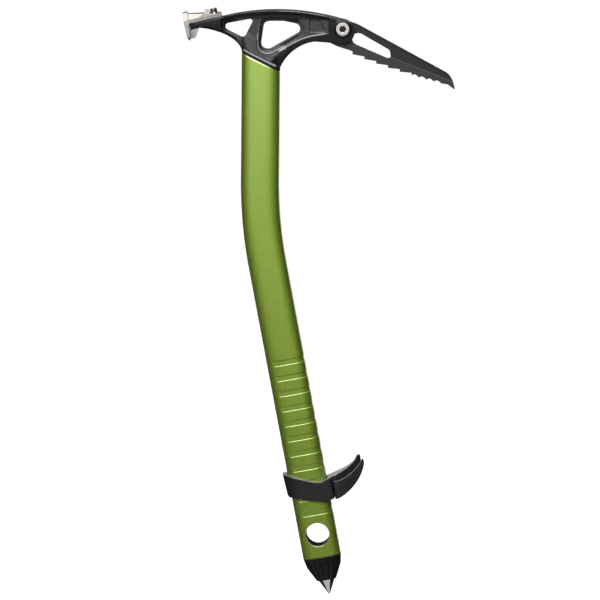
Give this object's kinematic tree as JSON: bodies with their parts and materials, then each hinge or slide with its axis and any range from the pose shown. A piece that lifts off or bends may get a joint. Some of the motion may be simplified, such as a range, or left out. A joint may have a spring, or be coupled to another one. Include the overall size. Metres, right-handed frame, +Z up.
{
  "type": "ice climbing tool",
  "caption": "Ice climbing tool with a bent oval shaft, a forged head holding a bolted toothed pick and a hammer, a spiked nose, and a sliding pinky rest locked by a cam lever.",
  "frame": {"origin": "centre of the carabiner hole near the foot of the shaft, in the tool's middle plane", "axes": "+X forward to the pick's side, +Y across the tool along the carabiner hole, +Z up along the upper shaft"},
  "size_m": [0.2285, 0.0264, 0.4974],
  "materials": {
    "anodised_green": "satin green anodising with a fine grain",
    "gasket_rubber": "matt black rubber",
    "head_black": "satin black coating on a forging",
    "pick_steel": "dark coated steel plate",
    "hammer_steel": "cast steel, lightly polished",
    "bolt_steel": "bright steel",
    "plug_plastic": "black moulded plastic",
    "spike_steel": "ground steel",
    "rest_plastic": "black moulded plastic"
  },
  "bodies": {
    "tool": {"shaft_tube": "anodised_green", "head_gasket": "gasket_rubber", "head": "head_black", "pick": "pick_steel", "pick_bolt": "bolt_steel", "pick_washer": "bolt_steel", "pick_nut": "bolt_steel", "hammer": "hammer_steel", "hammer_bolt": "bolt_steel", "hammer_washer": "bolt_steel", "hammer_pin": "bolt_steel", "end_plug": "plug_plastic", "spike": "spike_steel"},
    "rest": {"rest_collar": "rest_plastic", "lever_barrel": "bolt_steel", "tension_screw": "bolt_steel", "cam_saddle": "bolt_steel"},
    "lever": {"cam_lever": "rest_plastic"}
  },
  "joints": [
    {"name": "rest_slide", "type": "slide", "parent": "tool", "child": "rest", "axis": [-0.1908, 0, 0.9816], "range_m": [-0.015, 0.11]},
    {"name": "lever_hinge", "type": "hinge", "parent": "rest", "child": "lever", "pos_m": [0.01682, -0.0097, 0.03923], "axis": [0.1908, 0, -0.9816], "range_deg": [0, 90]}
  ]
}
